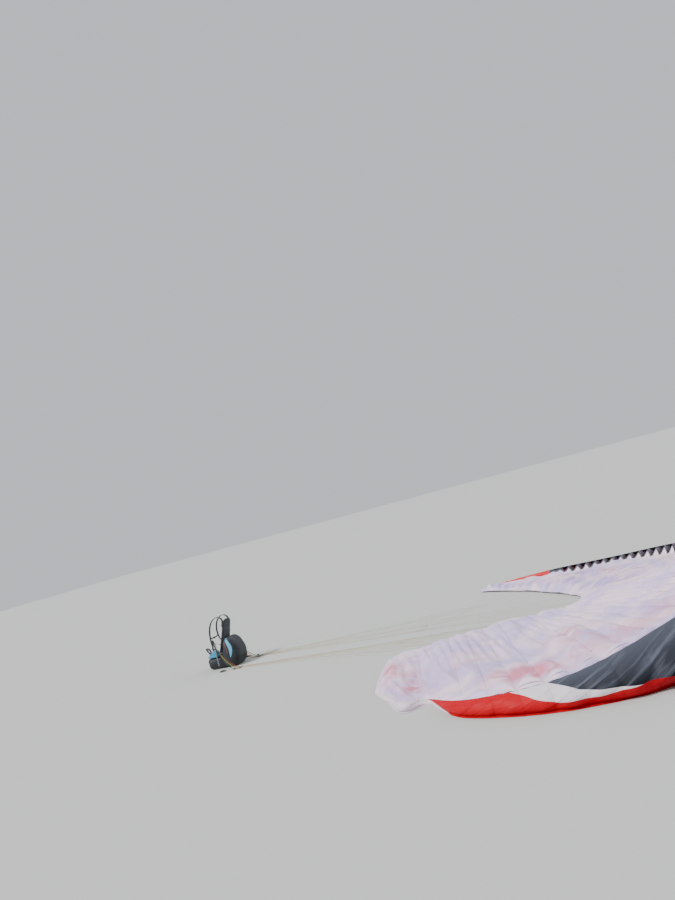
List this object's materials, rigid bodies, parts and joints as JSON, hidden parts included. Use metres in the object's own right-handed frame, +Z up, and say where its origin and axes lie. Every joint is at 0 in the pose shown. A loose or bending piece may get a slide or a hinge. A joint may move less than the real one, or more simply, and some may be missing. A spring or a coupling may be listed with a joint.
{
  "type": "tandem paraglider",
  "caption": "Tandem paraglider laid out for launch: upside-down horseshoe canopy, line rows, risers, carabiners, brakes, spreader arms and seat harness.",
  "frame": {"origin": "on the ground under the wing's centre rib, 0.6 m behind its nose", "axes": "+Z up, +Y from the wing towards the harness and the launch, +X towards the right wing tip; the wing lies upside down"},
  "size_m": [6.6983, 9.5264, 0.909],
  "materials": {
    "upper_cloth": "coated ripstop nylon, charcoal with a red tip band and a white stripe",
    "lower_cloth": "coated ripstop nylon, white, thin enough to let the upper cloth show through",
    "harness_black": "woven nylon, matt",
    "harness_grey": "padded woven nylon, matt",
    "webbing": "woven polyester webbing",
    "line_a": "sheathed aramid line, red",
    "line_b": "sheathed aramid line, yellow-green",
    "line_c": "sheathed aramid line, white",
    "line_brake": "sheathed line, orange",
    "alloy": "anodised",
    "steel": "polished",
    "black_plastic": "moulded"
  },
  "bodies": {
    "root": {"upper_skin_left_tip": "upper_cloth", "lower_skin_left_tip": "lower_cloth", "upper_skin_left_outer": "upper_cloth", "lower_skin_left_outer": "lower_cloth", "upper_skin_left_inner": "upper_cloth", "lower_skin_left_inner": "lower_cloth", "upper_skin_centre": "upper_cloth", "lower_skin_centre": "lower_cloth", "upper_skin_right_inner": "upper_cloth", "lower_skin_right_inner": "lower_cloth", "upper_skin_right_outer": "upper_cloth", "lower_skin_right_outer": "lower_cloth", "upper_skin_right_tip": "upper_cloth", "lower_skin_right_tip": "lower_cloth", "quick_link_a_left": "steel", "lines_a_left": "line_a", "quick_link_b_left": "steel", "lines_b_left": "line_b", "quick_link_c_left": "steel", "lines_c_left": "line_c", "lines_brake_left": "line_brake", "riser_left": "webbing", "hang_loop_left": "webbing", "leg_strap_left": "webbing", "carabiner_left": "alloy", "brake_pulley_left": "black_plastic", "hip_panel_left": "harness_grey", "shoulder_strap_left": "harness_black", "quick_link_a_right": "steel", "lines_a_right": "line_a", "quick_link_b_right": "steel", "lines_b_right": "line_b", "quick_link_c_right": "steel", "lines_c_right": "line_c", "lines_brake_right": "line_brake", "riser_right": "webbing", "hang_loop_right": "webbing", "leg_strap_right": "webbing", "carabiner_right": "alloy", "brake_pulley_right": "black_plastic", "hip_panel_right": "harness_grey", "shoulder_strap_right": "harness_black", "harness_airbag": "harness_black", "seat_pad": "harness_grey", "back_panel": "harness_grey", "chest_strap": "webbing"},
    "gate_left": {"carabiner_gate_left": "steel"},
    "pulley_wheel_left": {"brake_wheel_left": "alloy"},
    "spreader_left": {"spreader_arm_left": "alloy"},
    "brake_left": {"brake_handle_left": "harness_black", "brake_cord_left": "line_brake"},
    "gate_right": {"carabiner_gate_right": "steel"},
    "pulley_wheel_right": {"brake_wheel_right": "alloy"},
    "spreader_right": {"spreader_arm_right": "alloy"},
    "brake_right": {"brake_handle_right": "harness_black", "brake_cord_right": "line_brake"}
  },
  "joints": [
    {"name": "carabiner_gate_left", "type": "hinge", "parent": "root", "child": "gate_left", "pos_m": [0.703, 8.615, 0.4065], "axis": [0, 1, 0], "range_deg": [0, 25], "stiffness_Nm_per_rad": 0.05},
    {"name": "pulley_wheel_left", "type": "hinge", "parent": "root", "child": "pulley_wheel_left", "pos_m": [0.533, 8.17, 0.014], "axis": [0, 0, 1], "continuous": true},
    {"name": "spreader_arm_left", "type": "hinge", "parent": "root", "child": "spreader_left", "pos_m": [0.728, 8.615, 0.3724], "axis": [1, 0, 0], "range_deg": [-20, 110]},
    {"name": "brake_left", "type": "slide", "parent": "root", "child": "brake_left", "axis": [0, 1, 0], "range_m": [0, 0.3]},
    {"name": "carabiner_gate_right", "type": "hinge", "parent": "root", "child": "gate_right", "pos_m": [1.197, 8.615, 0.4065], "axis": [0, -1, 0], "range_deg": [0, 25], "stiffness_Nm_per_rad": 0.05},
    {"name": "pulley_wheel_right", "type": "hinge", "parent": "root", "child": "pulley_wheel_right", "pos_m": [1.367, 8.17, 0.014], "axis": [0, 0, 1], "continuous": true},
    {"name": "spreader_arm_right", "type": "hinge", "parent": "root", "child": "spreader_right", "pos_m": [1.172, 8.615, 0.3724], "axis": [1, 0, 0], "range_deg": [-20, 110]},
    {"name": "brake_right", "type": "slide", "parent": "root", "child": "brake_right", "axis": [0, 1, 0], "range_m": [0, 0.3]}
  ]
}
